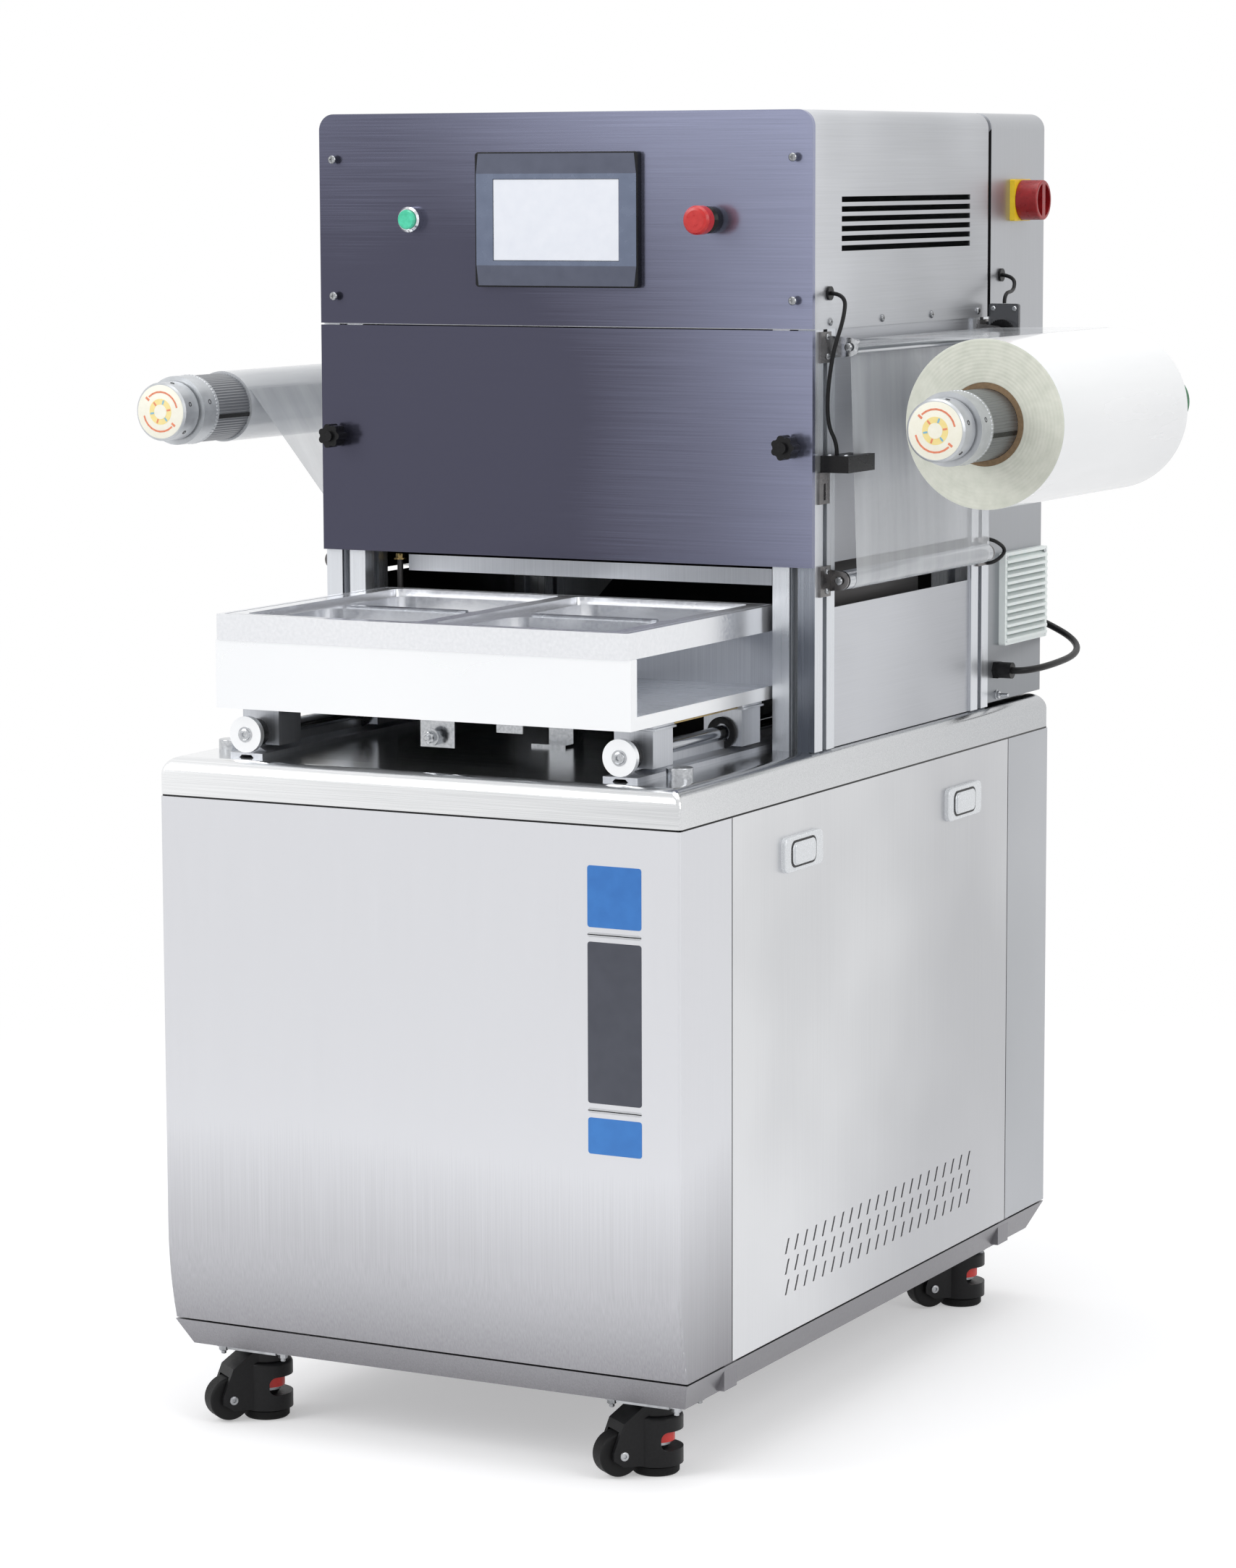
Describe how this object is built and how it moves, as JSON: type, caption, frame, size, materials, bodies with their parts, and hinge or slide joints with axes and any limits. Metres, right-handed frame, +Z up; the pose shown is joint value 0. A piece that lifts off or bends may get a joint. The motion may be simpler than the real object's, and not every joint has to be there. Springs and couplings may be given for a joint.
{
  "type": "tray sealing machine",
  "caption": "Floor-standing tray sealer: brushed steel base on casters, sliding tray mould, dark head with touch panel, and film reels on both sides.",
  "frame": {"origin": "on the floor, under the middle of the machine's overall width and depth, film reels included", "axes": "+X to the right as seen from the front, +Y to the rear, +Z up"},
  "size_m": [1.081, 1.0285, 1.419],
  "materials": {
    "brushed_panel": "vertically brushed stainless sheet",
    "brushed_head": "horizontally brushed stainless sheet",
    "polished_table": "bright stainless sheet, near mirror",
    "dark_panel": "satin dark gunmetal coating",
    "anodised": "satin anodised aluminium",
    "mould_metal": "white-silver anodised aluminium",
    "zinc": "zinc plated steel",
    "caster_black": "black glass-filled nylon",
    "pad_black": "black rubber pad with a red adjusting ring",
    "wheel_black": "hard black wheel",
    "latch_grey": "light grey plastic latch",
    "touch_black": "dark bezel with a pale screen",
    "button_metal": "chromed bezel and black collar",
    "button_green": "green translucent lens",
    "stop_red": "red mushroom head",
    "knob_black": "black star knob",
    "switch_yellow": "yellow switch plate",
    "switch_red": "dark red handle",
    "grille_plastic": "pale greenish white plastic",
    "cable_black": "black cable sheath",
    "gland_black": "black nylon gland",
    "bright_steel": "ground bright steel",
    "bracket_steel": "stainless bracket",
    "smoked_plastic": "smoked acrylic",
    "sensor_black": "black sensor body",
    "clear_film": "clear sealing film",
    "roll_film": "white reel of clear film",
    "card": "brown card core",
    "shaft_metal": "silver-grey shaft with fine ribs",
    "rail_metal": "anodised rail support"
  },
  "bodies": {
    "machine": {"base_panels": "brushed_panel", "base_frame": "brushed_panel", "side_doors": "brushed_panel", "table_top": "polished_table", "door_latches": "latch_grey", "caster_plates": "zinc", "caster_pads": "pad_black", "corner_posts": "anodised", "upper_front_panel": "dark_panel", "lower_front_panel": "dark_panel", "head_housing": "brushed_head", "rear_cabinet": "brushed_head", "side_panels": "brushed_head", "sealing_head": "mould_metal", "touch_panel": "touch_black", "button_bodies": "button_metal", "star_knobs": "knob_black", "switch_plate": "switch_yellow", "air_grille": "grille_plastic", "cable_glands": "gland_black", "roller_brackets": "bracket_steel", "encoder_bracket": "smoked_plastic", "edge_sensor": "sensor_black", "film_web": "clear_film", "shaft_brackets": "anodised", "rail_supports": "rail_metal", "rail_shafts": "bright_steel", "table_fittings": "bright_steel", "sensor_cable": "cable_black", "encoder_cable": "cable_black", "power_cable": "cable_black", "loop_cable": "cable_black"},
    "drawer": {"drawer_base": "mould_metal", "drawer_uprights": "mould_metal", "mould_plate": "mould_metal", "mould_strips": "bracket_steel", "bearing_blocks": "anodised", "drawer_catch": "bracket_steel"},
    "supply_reel": {"supply_shaft": "shaft_metal", "film_core": "card", "film_roll": "roll_film"},
    "rewind_reel": {"rewind_shaft": "shaft_metal", "rewound_film": "roll_film"},
    "upper_right_roller": {"roller_upper_right": "bright_steel"},
    "lower_right_roller": {"roller_lower_right": "anodised"},
    "lower_left_roller": {"roller_lower_left": "anodised"},
    "start_button": {"start_button_cap": "button_green"},
    "stop_button": {"stop_button_head": "stop_red"},
    "main_switch": {"switch_knob": "switch_red"},
    "caster_front_left": {"caster_housing_front_left": "caster_black"},
    "wheel_front_left": {"caster_wheel_front_left": "wheel_black"},
    "caster_front_right": {"caster_housing_front_right": "caster_black"},
    "wheel_front_right": {"caster_wheel_front_right": "wheel_black"},
    "caster_rear_left": {"caster_housing_rear_left": "caster_black"},
    "wheel_rear_left": {"caster_wheel_rear_left": "wheel_black"},
    "caster_rear_right": {"caster_housing_rear_right": "caster_black"},
    "wheel_rear_right": {"caster_wheel_rear_right": "wheel_black"}
  },
  "joints": [
    {"name": "drawer_slide", "type": "slide", "parent": "machine", "child": "drawer", "axis": [0, 1, 0], "range_m": [0, 0.386]},
    {"name": "supply_spin", "type": "hinge", "parent": "machine", "child": "supply_reel", "pos_m": [0.45, 0.091, 1.088], "axis": [0, 1, 0], "continuous": true},
    {"name": "rewind_spin", "type": "hinge", "parent": "machine", "child": "rewind_reel", "pos_m": [-0.5, 0.091, 1.088], "axis": [0, 1, 0], "continuous": true},
    {"name": "upper_right_roller_spin", "type": "hinge", "parent": "machine", "child": "upper_right_roller", "pos_m": [0.3025, 0.086, 1.168], "axis": [0, 1, 0], "continuous": true},
    {"name": "lower_right_roller_spin", "type": "hinge", "parent": "machine", "child": "lower_right_roller", "pos_m": [0.292, 0.086, 0.918], "axis": [0, 1, 0], "continuous": true},
    {"name": "lower_left_roller_spin", "type": "hinge", "parent": "machine", "child": "lower_left_roller", "pos_m": [-0.342, 0.086, 0.918], "axis": [0, 1, 0], "continuous": true},
    {"name": "start_button_push", "type": "slide", "parent": "machine", "child": "start_button", "axis": [0, 1, 0], "range_m": [0, 0.004], "stiffness_N_per_m": 600},
    {"name": "stop_button_push", "type": "slide", "parent": "machine", "child": "stop_button", "axis": [0, 1, 0], "range_m": [0, 0.005], "stiffness_N_per_m": 800},
    {"name": "main_switch_turn", "type": "hinge", "parent": "machine", "child": "main_switch", "pos_m": [0.305, 0.403, 1.3195], "axis": [1, 0, 0], "range_deg": [0, 90]},
    {"name": "caster_swivel_front_left", "type": "hinge", "parent": "machine", "child": "caster_front_left", "pos_m": [-0.265, -0.405, 0.045], "axis": [0, 0, 1], "continuous": true},
    {"name": "wheel_spin_front_left", "type": "hinge", "parent": "caster_front_left", "child": "wheel_front_left", "pos_m": [-0.29204, -0.44222, 0.0255], "axis": [0.809, -0.5878, 0], "continuous": true},
    {"name": "caster_swivel_front_right", "type": "hinge", "parent": "machine", "child": "caster_front_right", "pos_m": [0.215, -0.405, 0.045], "axis": [0, 0, 1], "continuous": true},
    {"name": "wheel_spin_front_right", "type": "hinge", "parent": "caster_front_right", "child": "wheel_front_right", "pos_m": [0.18796, -0.44222, 0.0255], "axis": [0.809, -0.5878, 0], "continuous": true},
    {"name": "caster_swivel_rear_left", "type": "hinge", "parent": "machine", "child": "caster_rear_left", "pos_m": [-0.265, 0.403, 0.045], "axis": [0, 0, 1], "continuous": true},
    {"name": "wheel_spin_rear_left", "type": "hinge", "parent": "caster_rear_left", "child": "wheel_rear_left", "pos_m": [-0.29204, 0.36579, 0.0255], "axis": [0.809, -0.5878, 0], "continuous": true},
    {"name": "caster_swivel_rear_right", "type": "hinge", "parent": "machine", "child": "caster_rear_right", "pos_m": [0.215, 0.403, 0.045], "axis": [0, 0, 1], "continuous": true},
    {"name": "wheel_spin_rear_right", "type": "hinge", "parent": "caster_rear_right", "child": "wheel_rear_right", "pos_m": [0.18796, 0.36579, 0.0255], "axis": [0.809, -0.5878, 0], "continuous": true}
  ]
}
